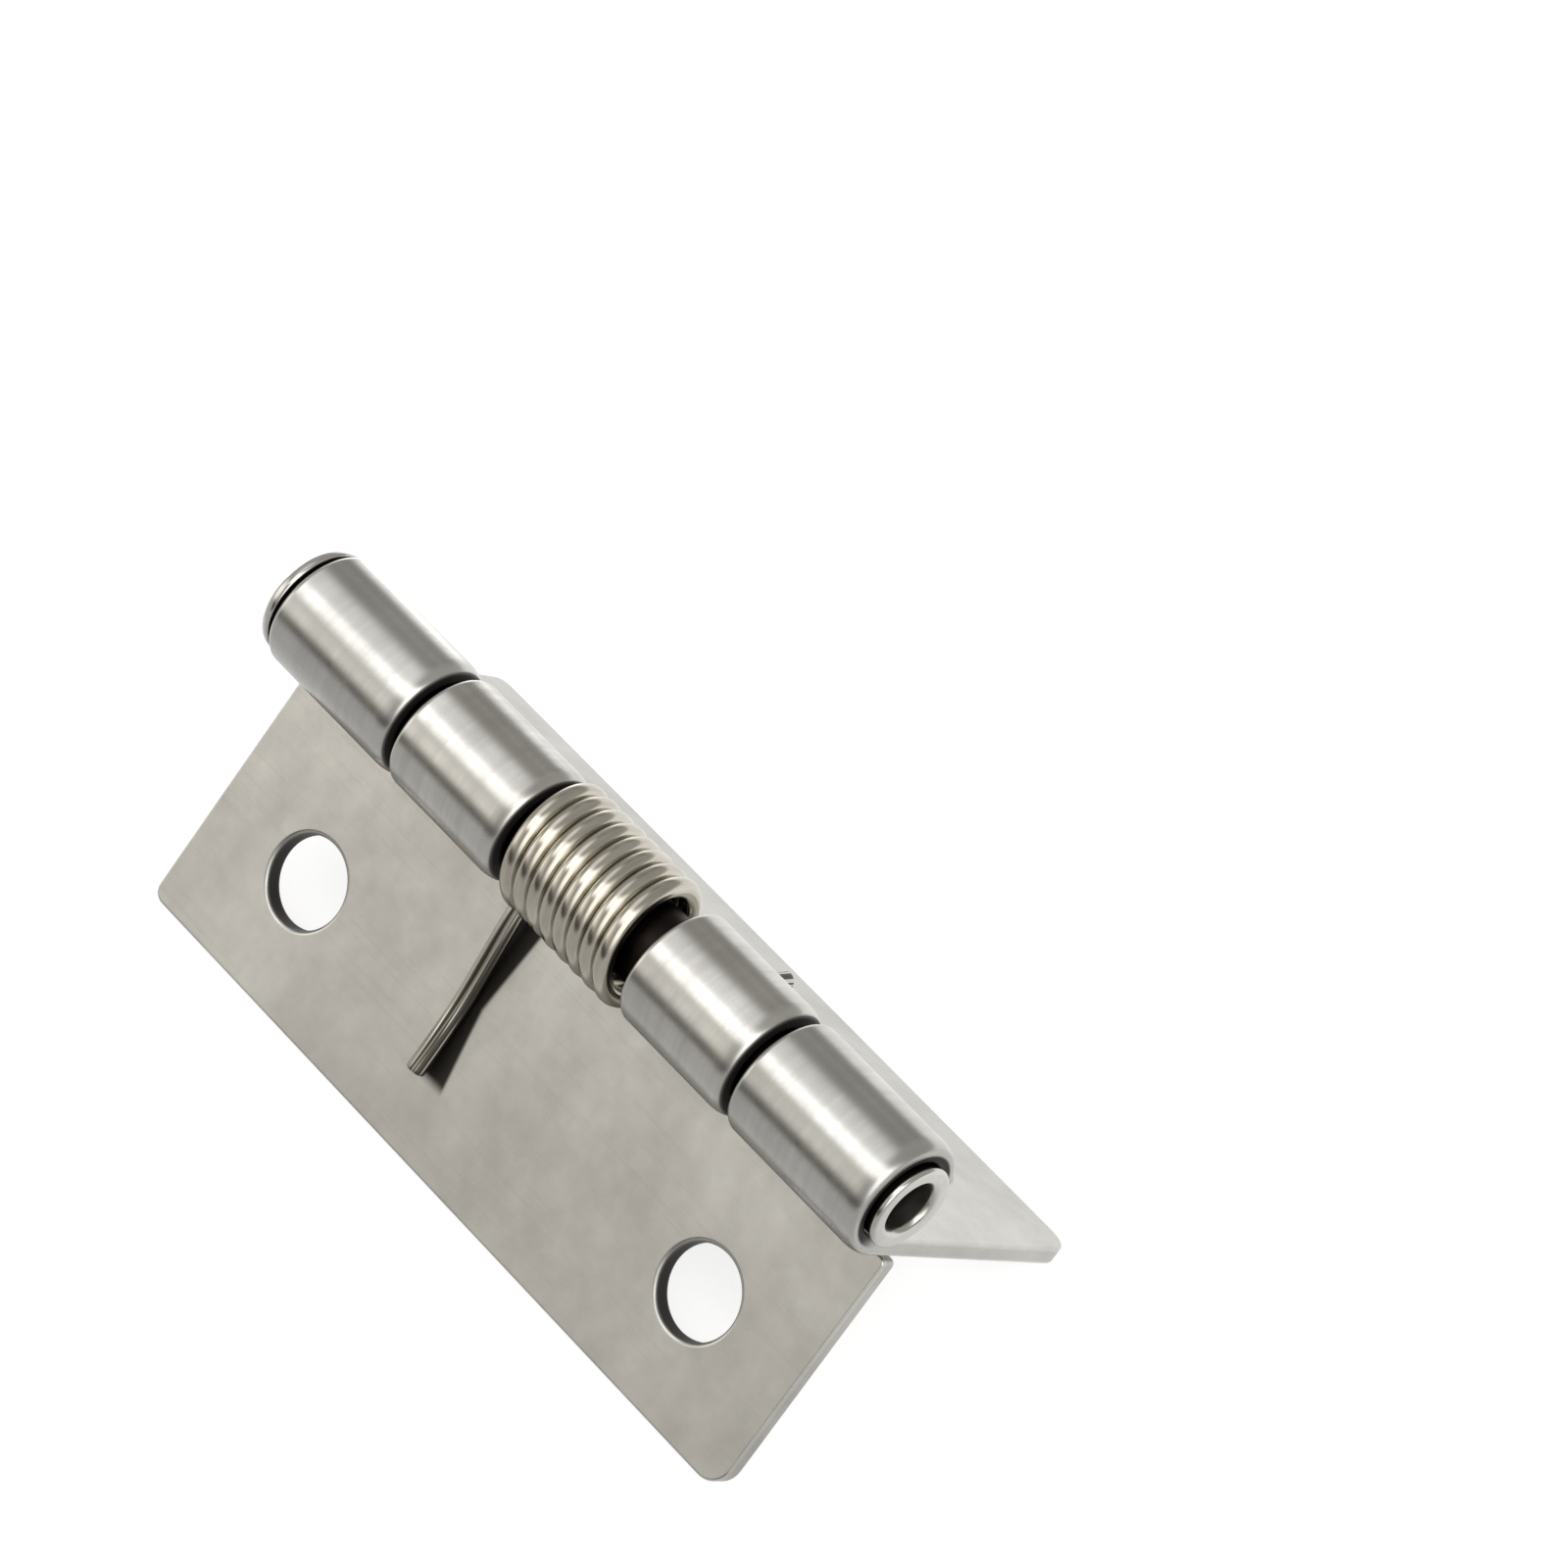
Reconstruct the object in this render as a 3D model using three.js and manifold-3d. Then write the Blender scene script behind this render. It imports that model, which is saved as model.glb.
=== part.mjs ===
// Spring butt hinge: two rolled-knuckle leaves on one tubular pin, with a torsion spring
// wound round the pin between the inner knuckles.
// Millimetres. The hinge stands like a tent on the free edges of its leaves, which are at a
// right angle at rest. The pin's axis is along X, with its head at -X. The front leaf slopes
// down to -Y and the rear leaf to +Y, and the origin is on the ground below the middle.
//
// The pieces are drawn with the pin upright along Z, its head on top, the front leaf to -X
// and the rear leaf to +Y, and the last group lays the whole hinge down.
// Each leaf is drawn in the same leaf frame: x runs from the pin's axis towards the free
// edge, y is the side that the barrel stands proud on, and z runs along the pin.

import * as THREE from "three";
import { mergeVertices } from "three/addons/utils/BufferGeometryUtils.js";
import Module from "manifold-3d";

// Leaves
const LEAF_LENGTH = 50;
const LEAF_REACH = 20; // pin axis to free edge
const SHEET = 1.2;
const CORNER_RADIUS = 1.5;
const HOLE_DIAMETER = 5.3;
const HOLE_REACH = 12.8; // pin axis to hole centre
const HOLE_SPACING = 34.4;
const HOLE_LIP = 0.3; // bevel on the proud side

// Knuckles
const BARREL_RADIUS = 3.7;
const BORE_RADIUS = BARREL_RADIUS - SHEET;
const OUTER_KNUCKLE_START = 14.75; // from the middle of the hinge
const INNER_KNUCKLE_START = 5.4;
const INNER_KNUCKLE_END = 14.25;
const SEAM_ANGLE = -36; // degrees, where the rolled sheet ends above the leaf
const STOP_REACH = 4.0; // cut edge of the front leaf beside the outer knuckles
const CLEAR_REACH = 4.5; // cut edge beside the spring and the inner knuckles
const ROOT_OVERLAP = 1.0;
const CURL_STEPS = 36;

// Pin
const PIN_RADIUS = 2.42;
const HEAD_RADIUS = 3.45;
const HEAD_THICKNESS = 0.75;
const HEAD_GAP = 0.1;
const HEAD_ROUND = 0.2;
const RIM_RADIUS = 2.75;
const RIM_HEIGHT = 0.55;
const PIN_BORE_RADIUS = 1.7;
const PIN_BORE_DEPTH = 12;
const PIN_SIDES = 48;

// Spring
const WIRE_DIAMETER = 1.12;
const COIL_RADIUS = 3.4; // to the middle of the wire
const COIL_PITCH = 1.16;
const WHOLE_TURNS = 8;
const LEG_REACH = 16;
const LEG_BEND_RADIUS = 1.2;
const LEG_CLEARANCE = 0.1;
const WIRE_SIDES = 10;
const WIRE_STEP = 0.8;

const wasm = await Module();
wasm.setup();

const degrees = THREE.MathUtils.degToRad;

/** A closed geometry as a solid that can be joined and cut. */
function toSolid(geometry) {
  const bare = geometry.clone();
  bare.deleteAttribute("normal");
  bare.deleteAttribute("uv");
  const merged = mergeVertices(bare, 1e-5);
  const mesh = new wasm.Mesh({
    numProp: 3,
    vertProperties: new Float32Array(merged.attributes.position.array),
    triVerts: new Uint32Array(merged.index.array),
  });
  return new wasm.Manifold(mesh);
}

/** The solid's surface as a geometry for a mesh. */
function toGeometry(solid) {
  const mesh = solid.getMesh();
  const geometry = new THREE.BufferGeometry();
  geometry.setAttribute("position", new THREE.BufferAttribute(mesh.vertProperties, 3));
  geometry.setIndex(new THREE.BufferAttribute(mesh.triVerts, 1));
  geometry.computeVertexNormals();
  return geometry;
}

/** A metal material of its own for each piece. */
function metal(name, color, roughness) {
  return new THREE.MeshStandardMaterial({ name, color, roughness, metalness: 1 });
}

/** Outline of the flat part of a leaf: x away from the axis, y along the pin. */
function plateOutline(innerEdge) {
  const half = LEAF_LENGTH / 2;
  const round = CORNER_RADIUS;
  const shape = new THREE.Shape();
  shape.moveTo(innerEdge[0][0], innerEdge[0][1]);
  shape.lineTo(LEAF_REACH - round, -half);
  shape.absarc(LEAF_REACH - round, -half + round, round, -Math.PI / 2, 0, false);
  shape.lineTo(LEAF_REACH, half - round);
  shape.absarc(LEAF_REACH - round, half - round, round, 0, Math.PI / 2, false);
  for (const [x, y] of innerEdge.slice(1).reverse()) {
    shape.lineTo(x, y);
  }
  shape.closePath();
  return shape;
}

/** The flat part of a leaf as a slab between the two faces of the sheet. */
function plate(innerEdge) {
  const geometry = new THREE.ExtrudeGeometry(plateOutline(innerEdge), {
    depth: SHEET,
    bevelEnabled: false,
    curveSegments: 6,
  });
  // The outline's y becomes z, and the slab's depth becomes -y.
  geometry.rotateX(Math.PI / 2);
  geometry.translate(0, -BORE_RADIUS, 0);
  return toSolid(geometry);
}

/** A screw hole's cutter, with the bevel on the proud face. */
function holeCutter(z) {
  const radius = HOLE_DIAMETER / 2;
  const over = 1;
  const profile = [
    new THREE.Vector2(0, -SHEET - over),
    new THREE.Vector2(radius, -SHEET - over),
    new THREE.Vector2(radius, -HOLE_LIP),
    new THREE.Vector2(radius + HOLE_LIP + over, over),
    new THREE.Vector2(0, over),
  ];
  const geometry = new THREE.LatheGeometry(profile, 40);
  geometry.translate(HOLE_REACH, -BORE_RADIUS, z);
  return toSolid(geometry);
}

/** Section of a rolled knuckle with the start of the flat leaf. */
function knuckleSection(rootEnd) {
  const shape = new THREE.Shape();
  const seam = degrees(SEAM_ANGLE);
  const tangent = degrees(270);
  shape.moveTo(rootEnd, -BARREL_RADIUS);
  shape.lineTo(rootEnd, -BORE_RADIUS);
  for (let i = 0; i <= CURL_STEPS; i += 1) {
    const angle = tangent + (seam - tangent) * (i / CURL_STEPS);
    shape.lineTo(BORE_RADIUS * Math.cos(angle), BORE_RADIUS * Math.sin(angle));
  }
  for (let i = 0; i <= CURL_STEPS; i += 1) {
    const angle = seam + (tangent - seam) * (i / CURL_STEPS);
    shape.lineTo(BARREL_RADIUS * Math.cos(angle), BARREL_RADIUS * Math.sin(angle));
  }
  shape.closePath();
  return shape;
}

/** One rolled knuckle between two heights. */
function knuckle(bottom, top, rootEnd) {
  const geometry = new THREE.ExtrudeGeometry(knuckleSection(rootEnd), {
    depth: top - bottom,
    bevelEnabled: false,
  });
  geometry.translate(0, 0, bottom);
  return toSolid(geometry);
}

/** A whole leaf: flat plate, knuckles and screw holes. */
function leaf(innerEdge, knuckles) {
  let solid = plate(innerEdge);
  for (const [bottom, top] of knuckles) {
    solid = solid.add(knuckle(bottom, top, CLEAR_REACH + ROOT_OVERLAP));
  }
  for (const side of [-1, 1]) {
    solid = solid.subtract(holeCutter((side * HOLE_SPACING) / 2));
  }
  return toGeometry(solid);
}

/** The front leaf carries the two inner knuckles, cut back at both ends and at the spring. */
function frontLeafGeometry() {
  const half = LEAF_LENGTH / 2;
  const innerEdge = [
    [STOP_REACH, -half],
    [STOP_REACH, -INNER_KNUCKLE_END],
    [CLEAR_REACH, -INNER_KNUCKLE_END],
    [CLEAR_REACH, INNER_KNUCKLE_END],
    [STOP_REACH, INNER_KNUCKLE_END],
    [STOP_REACH, half],
  ];
  return leaf(innerEdge, [
    [-INNER_KNUCKLE_END, -INNER_KNUCKLE_START],
    [INNER_KNUCKLE_START, INNER_KNUCKLE_END],
  ]);
}

/** The rear leaf carries the two outer knuckles, with one long cut between them. */
function rearLeafGeometry() {
  const half = LEAF_LENGTH / 2;
  const innerEdge = [
    [CLEAR_REACH, -half],
    [CLEAR_REACH, half],
  ];
  return leaf(innerEdge, [
    [-half, -OUTER_KNUCKLE_START],
    [OUTER_KNUCKLE_START, half],
  ]);
}

/** Points of a quarter round from one corner of a profile to the next. */
function quarterRound(cx, cy, radius, from, steps) {
  return Array.from({ length: steps + 1 }, (_, i) => {
    const angle = degrees(from + (90 * i) / steps);
    return new THREE.Vector2(cx + radius * Math.cos(angle), cy + radius * Math.sin(angle));
  });
}

/** The pin: flat head on top, blind bore from below and a rolled rim under the last knuckle. */
function pinGeometry() {
  const half = LEAF_LENGTH / 2;
  const rimTop = -half - HEAD_GAP;
  const rimBottom = rimTop - RIM_HEIGHT;
  const headBottom = half + HEAD_GAP;
  const headTop = headBottom + HEAD_THICKNESS;
  const boreTop = rimBottom + PIN_BORE_DEPTH;
  const rimRound = RIM_HEIGHT * 0.8;
  const profile = [
    new THREE.Vector2(0, boreTop),
    new THREE.Vector2(PIN_BORE_RADIUS, boreTop - PIN_BORE_RADIUS / 2),
    new THREE.Vector2(PIN_BORE_RADIUS, rimBottom + 0.3),
    new THREE.Vector2(PIN_BORE_RADIUS + 0.15, rimBottom),
    ...quarterRound(RIM_RADIUS - rimRound, rimBottom + rimRound, rimRound, -90, 4),
    new THREE.Vector2(RIM_RADIUS, rimTop),
    new THREE.Vector2(PIN_RADIUS, rimTop + 0.15),
    new THREE.Vector2(PIN_RADIUS, headBottom),
    new THREE.Vector2(HEAD_RADIUS, headBottom),
    ...quarterRound(HEAD_RADIUS - HEAD_ROUND, headTop - HEAD_ROUND, HEAD_ROUND, 0, 4),
    new THREE.Vector2(0, headTop),
  ];
  return new THREE.LatheGeometry(profile, PIN_SIDES);
}

/** Middle line of the spring's wire, measured by length: leg, bend, coil, bend, leg. */
class WirePath extends THREE.Curve {
  constructor() {
    super();
    const lineY = -BORE_RADIUS + WIRE_DIAMETER / 2 + LEG_CLEARANCE;
    const bendY = lineY - LEG_BEND_RADIUS;
    const bendX = Math.sqrt((COIL_RADIUS + LEG_BEND_RADIUS) ** 2 - bendY ** 2);
    this.lineY = lineY;
    this.bend = new THREE.Vector2(bendX, bendY);
    this.bendSweep = Math.PI / 2 - Math.atan2(-bendY, bendX);
    this.coilStart = Math.atan2(-bendY, -bendX);
    this.sweep = WHOLE_TURNS * 2 * Math.PI + 2 * (this.coilStart - degrees(135));
    this.drop = (COIL_PITCH * this.sweep) / (2 * Math.PI);
    this.legLength = LEG_REACH - bendX;
    this.bendLength = LEG_BEND_RADIUS * this.bendSweep;
    this.coilLength = COIL_RADIUS * this.sweep;
    this.endLength = this.legLength + this.bendLength;
    this.wireLength = 2 * this.endLength + this.coilLength;
  }

  /** Point of the upper leg or its bend, at a distance from the leg's tip. */
  endPoint(distance) {
    if (distance <= this.legLength) {
      return new THREE.Vector3(distance - LEG_REACH, -this.lineY, this.drop / 2);
    }
    const angle = Math.PI / 2 + (distance - this.legLength) / LEG_BEND_RADIUS;
    const x = this.bend.x + LEG_BEND_RADIUS * Math.cos(angle);
    const y = this.bend.y + LEG_BEND_RADIUS * Math.sin(angle);
    return new THREE.Vector3(-x, -y, this.drop / 2);
  }

  getPoint(t, target = new THREE.Vector3()) {
    const distance = t * this.wireLength;
    if (distance < this.endLength) {
      return target.copy(this.endPoint(distance));
    }
    const left = this.wireLength - distance;
    if (left < this.endLength) {
      // The lower end is the upper one turned over, onto the rear leaf.
      const p = this.endPoint(left);
      return target.set(-p.y, -p.x, -p.z);
    }
    const along = distance - this.endLength;
    const angle = this.coilStart - along / COIL_RADIUS;
    const z = this.drop / 2 - (this.drop * along) / this.coilLength;
    return target.set(COIL_RADIUS * Math.cos(angle), COIL_RADIUS * Math.sin(angle), z);
  }
}

/** The spring: round wire drawn along its middle line. */
function springGeometry() {
  const path = new WirePath();
  const section = new THREE.Shape();
  section.absarc(0, 0, WIRE_DIAMETER / 2, 0, 2 * Math.PI, false);
  const steps = Math.round(path.wireLength / WIRE_STEP);
  return new THREE.ExtrudeGeometry(section, {
    steps,
    curveSegments: WIRE_SIDES / 2, // a full arc gets two per segment
    extrudePath: path,
  });
}

const upright = new THREE.Group();
upright.rotation.set(0, -Math.PI / 2, Math.PI / 4);

const frontLeaf = new THREE.Mesh(frontLeafGeometry(), metal("front_leaf", 0xb9b6ad, 0.34));
frontLeaf.name = "front_leaf";
frontLeaf.rotation.z = Math.PI;
upright.add(frontLeaf);

const rearLeaf = new THREE.Mesh(rearLeafGeometry(), metal("rear_leaf", 0xbab7ae, 0.34));
rearLeaf.name = "rear_leaf";
rearLeaf.setRotationFromAxisAngle(new THREE.Vector3(1, 1, 0).normalize(), Math.PI);
upright.add(rearLeaf);

const pin = new THREE.Mesh(pinGeometry(), metal("pin", 0xc2c1bb, 0.26));
pin.name = "pin";
pin.rotation.x = Math.PI / 2;
upright.add(pin);

const torsionSpring = new THREE.Mesh(springGeometry(), metal("torsion_spring", 0xb3b09f, 0.22));
torsionSpring.name = "torsion_spring";
upright.add(torsionSpring);

// The standing hinge rests on the lower edges of the leaves' back faces.
upright.position.set(
  (HEAD_THICKNESS - RIM_HEIGHT) / 2,
  0,
  (LEAF_REACH + BARREL_RADIUS) * Math.SQRT1_2,
);

const hinge = new THREE.Group();
hinge.add(upright);

export default hinge;
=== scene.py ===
"""Spring butt hinge standing on the free edges of its two leaves.

Lengths inside the classes are in millimetres, as on a maker's drawing, and become metres
when a mesh is placed in the row frame. The pin lies along X with its head at -X, the front
leaf slopes down to -Y and the rear leaf to +Y.
"""

import logging
import math
from dataclasses import dataclass, field
from enum import Enum

import bmesh
import bpy
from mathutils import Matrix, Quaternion, Vector
from mathutils.geometry import delaunay_2d_cdt
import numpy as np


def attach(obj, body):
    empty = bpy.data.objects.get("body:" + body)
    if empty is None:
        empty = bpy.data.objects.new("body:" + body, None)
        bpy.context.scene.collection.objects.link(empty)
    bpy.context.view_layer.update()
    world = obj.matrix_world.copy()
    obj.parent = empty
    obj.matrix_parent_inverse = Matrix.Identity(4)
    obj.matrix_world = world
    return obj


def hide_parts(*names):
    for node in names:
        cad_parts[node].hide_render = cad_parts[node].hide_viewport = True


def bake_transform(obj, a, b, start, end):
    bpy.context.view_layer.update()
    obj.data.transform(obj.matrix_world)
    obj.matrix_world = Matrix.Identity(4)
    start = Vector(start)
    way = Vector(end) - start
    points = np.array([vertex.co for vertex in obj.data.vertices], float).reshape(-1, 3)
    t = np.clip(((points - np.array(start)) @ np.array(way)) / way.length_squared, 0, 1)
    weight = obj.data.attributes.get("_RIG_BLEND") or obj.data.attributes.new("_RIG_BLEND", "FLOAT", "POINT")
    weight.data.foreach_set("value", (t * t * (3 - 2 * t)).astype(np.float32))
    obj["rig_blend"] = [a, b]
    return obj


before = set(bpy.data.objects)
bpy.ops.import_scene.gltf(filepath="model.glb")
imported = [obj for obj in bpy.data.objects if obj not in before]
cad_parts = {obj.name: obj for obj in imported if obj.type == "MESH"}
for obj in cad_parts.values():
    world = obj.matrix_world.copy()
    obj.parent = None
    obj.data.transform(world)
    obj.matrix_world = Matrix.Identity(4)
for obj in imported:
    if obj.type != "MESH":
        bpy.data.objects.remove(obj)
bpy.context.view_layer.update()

LOG = logging.getLogger("hinge")

MM = 0.001
ROOT_HALF = math.sqrt(0.5)

# Shared sizes of the hinge, in millimetres
LENGTH = 50.0
SHEET = 1.2
BARREL_RADIUS = 3.7
BORE_RADIUS = BARREL_RADIUS - SHEET
LEAF_REACH = 20.0
PIN_MIDDLE = 0.1
PIN_HEIGHT = (LEAF_REACH + BARREL_RADIUS) * ROOT_HALF

# How close two points may be when the blank is cut, in millimetres
CUT_TOLERANCE = 1e-5
JOIN_TOLERANCE = 1e-6

Colour = tuple[float, float, float]
Span = tuple[float, float]
Loop = list[tuple[Vector, Vector]]


def pin_axis_point(x: float) -> Vector:
    """Point of the pin's axis in the row frame, in metres, for an X in millimetres."""
    return Vector((x, 0.0, PIN_HEIGHT)) * MM


def rgba(colour: Colour) -> tuple[float, float, float, float]:
    """A colour with full alpha."""
    return (*colour, 1.0)


def linked(name: str, data: bpy.types.ID) -> bpy.types.Object:
    """Makes an object and links it to the scene.

    Args:
        name: The object's name.
        data: Its mesh, lamp or camera.

    Returns:
        The object.
    """
    made = bpy.data.objects.new(name, data)
    bpy.context.collection.objects.link(made)
    return made


def surfaced(
    data: bpy.types.Mesh, normals: list[Vector], material: bpy.types.Material
) -> None:
    """Smooths a mesh by its own normals and gives it its metal.

    Args:
        data: The mesh.
        normals: The normal at each vertex.
        material: The metal.
    """
    data.polygons.foreach_set("use_smooth", [True] * len(data.polygons))
    data.normals_split_custom_set_from_vertices(normals)
    data.materials.append(material)


# Node trees


class Value:
    """A number socket that takes part in an expression."""

    def __init__(self, graph: "Graph", socket: bpy.types.NodeSocket) -> None:
        """Wraps one output socket.

        Args:
            graph: The node tree's graph.
            socket: The output socket that carries the number.
        """
        self.graph = graph
        self.socket = socket

    def _math(self, operation: str, first: object, second: object) -> "Value":
        """Adds one Math node.

        Args:
            operation: The node's operation.
            first: The left value.
            second: The right value.

        Returns:
            The node's result.
        """
        made = self.graph.node(
            "ShaderNodeMath", {"operation": operation}, {0: first, 1: second}
        )
        return Value(self.graph, made.outputs[0])

    def __add__(self, other: object) -> "Value":
        """Sum."""
        return self._math("ADD", self, other)

    def __radd__(self, other: object) -> "Value":
        """Sum with a plain number on the left."""
        return self._math("ADD", other, self)

    def __sub__(self, other: object) -> "Value":
        """Difference."""
        return self._math("SUBTRACT", self, other)

    def __rsub__(self, other: object) -> "Value":
        """Difference with a plain number on the left."""
        return self._math("SUBTRACT", other, self)

    def __mul__(self, other: object) -> "Value":
        """Product."""
        return self._math("MULTIPLY", self, other)

    def __rmul__(self, other: object) -> "Value":
        """Product with a plain number on the left."""
        return self._math("MULTIPLY", other, self)

    def magnitude(self) -> "Value":
        """Absolute value."""
        return self._math("ABSOLUTE", self, 0.0)


class Graph:
    """A node tree and the one way in which nodes are added to it."""

    def __init__(self, tree: bpy.types.NodeTree) -> None:
        """Keeps the tree.

        Args:
            tree: A shader, world or geometry node tree.
        """
        self.tree = tree

    def node(
        self,
        kind: str,
        settings: dict[str, object] | None = None,
        inputs: dict[str | int, object] | None = None,
    ) -> bpy.types.Node:
        """Adds a node.

        Args:
            kind: The node's type.
            settings: Its properties, set first.
            inputs: Values or links, by the socket's name or place.

        Returns:
            The new node.
        """
        made = self.tree.nodes.new(kind)
        for name, setting in (settings or {}).items():
            setattr(made, name, setting)
        for key, given in (inputs or {}).items():
            self.feed(made.inputs[key], given)
        return made

    def feed(self, socket: bpy.types.NodeSocket, given: object) -> None:
        """Gives an input socket its link or its value.

        Args:
            socket: The input socket.
            given: A number for expressions, an output socket or a plain value.
        """
        if isinstance(given, Value):
            self.tree.links.new(given.socket, socket)
        elif isinstance(given, bpy.types.NodeSocket):
            self.tree.links.new(given, socket)
        else:
            socket.default_value = given

    def value(self, node: bpy.types.Node, output: str | int = 0) -> Value:
        """A node's output as a number for expressions."""
        return Value(self, node.outputs[output])

    def vector(self, operation: str, *given: object) -> bpy.types.NodeSocket:
        """Adds one Vector Math node.

        Args:
            operation: The node's operation.
            given: The vectors that it works on.

        Returns:
            The resulting vector's socket.
        """
        settings = {"operation": operation}
        return self.node("ShaderNodeVectorMath", settings, dict(enumerate(given))).outputs[0]

    def noise(
        self,
        place: object,
        scale: float,
        detail: float = 2.0,
        stretch: tuple[float, float, float] | None = None,
    ) -> Value:
        """Smooth random number between 0 and 1 over a surface.

        Args:
            place: Where the surface point is.
            scale: Cells per unit of the place.
            detail: Octaves of finer noise.
            stretch: What each part of the place is multiplied by first.

        Returns:
            The noise.
        """
        if stretch:
            place = self.vector("MULTIPLY", place, stretch)
        inputs = {"Vector": place, "Scale": scale, "Detail": detail}
        return self.value(self.node("ShaderNodeTexNoise", None, inputs))

    def smooth_step(self, given: Value, span: Span, unit: float = MM) -> Value:
        """0 before a span and 1 past it, with a soft change between its ends.

        Args:
            given: The number that changes.
            span: Where the result leaves 0 and where it reaches 1, which may be the lower.
            unit: What the span is counted in.

        Returns:
            The step.
        """
        low, high = span
        made = self.node(
            "ShaderNodeMapRange",
            {"interpolation_type": "SMOOTHSTEP"},
            {"Value": given, "From Min": low * unit, "From Max": high * unit},
        )
        return self.value(made)

    def blend_colours(
        self, factor: object, first: object, second: object
    ) -> bpy.types.NodeSocket:
        """Mixes two colours.

        Args:
            factor: 0 for the first colour and 1 for the second.
            first: A colour or a colour socket.
            second: A colour or a colour socket.

        Returns:
            The mixed colour's socket.
        """
        inputs = {0: factor, 6: first, 7: second}
        return self.node("ShaderNodeMix", {"data_type": "RGBA"}, inputs).outputs[2]

    def attribute(self, name: str) -> bpy.types.Node:
        """The node that reads a mesh attribute."""
        return self.node("ShaderNodeAttribute", {"attribute_name": name})


def empty_material(name: str) -> tuple[bpy.types.Material, Graph]:
    """Makes a material without nodes.

    Args:
        name: Its name.

    Returns:
        The material and its graph.
    """
    material = bpy.data.materials.new(name)
    material.use_nodes = True
    material.node_tree.nodes.clear()
    return material, Graph(material.node_tree)


# Finishes


@dataclass(frozen=True)
class MetalFinish:
    """What all the metals here share."""

    name: str
    light: Colour
    dark: Colour
    roughness: float
    # Painted shade and painted dark reflections darken the metal towards this near-black colour and make it
    # this much rougher.
    painted_shade_colour: Colour = (0.018, 0.014, 0.013)
    painted_shade_dulling: float = 0.18

    def start(self) -> tuple[Graph, bpy.types.Node, bpy.types.Material]:
        """Makes an empty metal material.

        Returns:
            Its graph, its shader and the material.
        """
        material, graph = empty_material(self.name)
        shader = graph.node(
            "ShaderNodeBsdfPrincipled", None, {"Metallic": 1.0, "IOR": 1.5}
        )
        graph.node("ShaderNodeOutputMaterial", None, {"Surface": shader.outputs[0]})
        material.diffuse_color = rgba(self.light)
        material.metallic = 1.0
        material.roughness = self.roughness
        return graph, shader, material

    def finish(
        self,
        graph: Graph,
        shader: bpy.types.Node,
        tone: Value,
        roughness: Value,
        height: Value,
        depth: float,
        painted_shade: Value,
    ) -> None:
        """Joins the colour, gloss and relief to the shader.

        Args:
            graph: The material's graph.
            shader: Its shader.
            tone: 0 for the light metal and 1 for the dark one.
            roughness: The roughness over the surface.
            height: The relief, between 0 and 1.
            depth: Height of the relief in millimetres.
            painted_shade: 1 where shade and dark reflections, painted for good, darken the metal.
        """
        clean = graph.blend_colours(tone, rgba(self.light), rgba(self.dark))
        # Painted shade and painted dark reflections: the clean metal is darkened towards the near-black
        # colour.
        colour = graph.blend_colours(painted_shade, clean, rgba(self.painted_shade_colour))
        relief = {"Strength": 1.0, "Distance": depth * MM, "Height": height}
        bump = graph.node("ShaderNodeBump", None, relief)
        graph.feed(shader.inputs["Base Color"], colour)
        graph.feed(shader.inputs["Roughness"], roughness + painted_shade * self.painted_shade_dulling)
        graph.feed(shader.inputs["Normal"], bump.outputs[0])


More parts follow.
